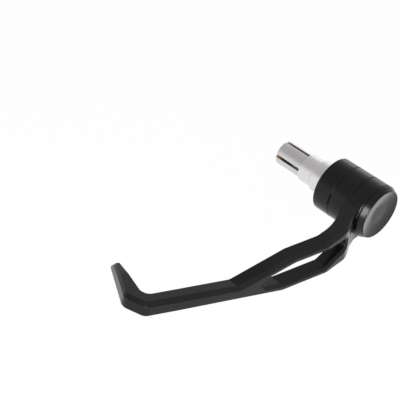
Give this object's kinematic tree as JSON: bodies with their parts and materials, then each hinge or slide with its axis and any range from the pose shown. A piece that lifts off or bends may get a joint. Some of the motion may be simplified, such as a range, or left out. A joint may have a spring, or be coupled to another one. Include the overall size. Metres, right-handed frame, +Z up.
{
  "type": "brake lever guard",
  "caption": "Brake lever guard for a handlebar end: slotted expander sleeve, spacer rings and a cranked black arm with a window and an inward hook.",
  "frame": {"origin": "on the handlebar's axis, where the inner spacer's face meets the end of the bar", "axes": "+X along the bar's axis and away from the bike, the arm and its hook reach towards -Y, +Z up"},
  "size_m": [0.0692, 0.1541, 0.0306],
  "materials": {
    "arm_black": "satin black anodised aluminium",
    "ring_black": "satin black anodised aluminium",
    "cap_black": "satin black anodised aluminium, turned",
    "sleeve_silver": "turned, plain",
    "nut_brass": "turned",
    "bolt_steel": "zinc plated",
    "seal_rubber": "matt"
  },
  "bodies": {
    "root": {"guard_arm": "arm_black", "outer_spacer": "ring_black", "inner_spacer": "ring_black", "expander_sleeve": "sleeve_silver", "cone_nut": "nut_brass", "centre_bolt": "bolt_steel", "bolt_washer": "bolt_steel", "end_cap": "cap_black", "cap_seal": "seal_rubber"}
  },
  "joints": []
}
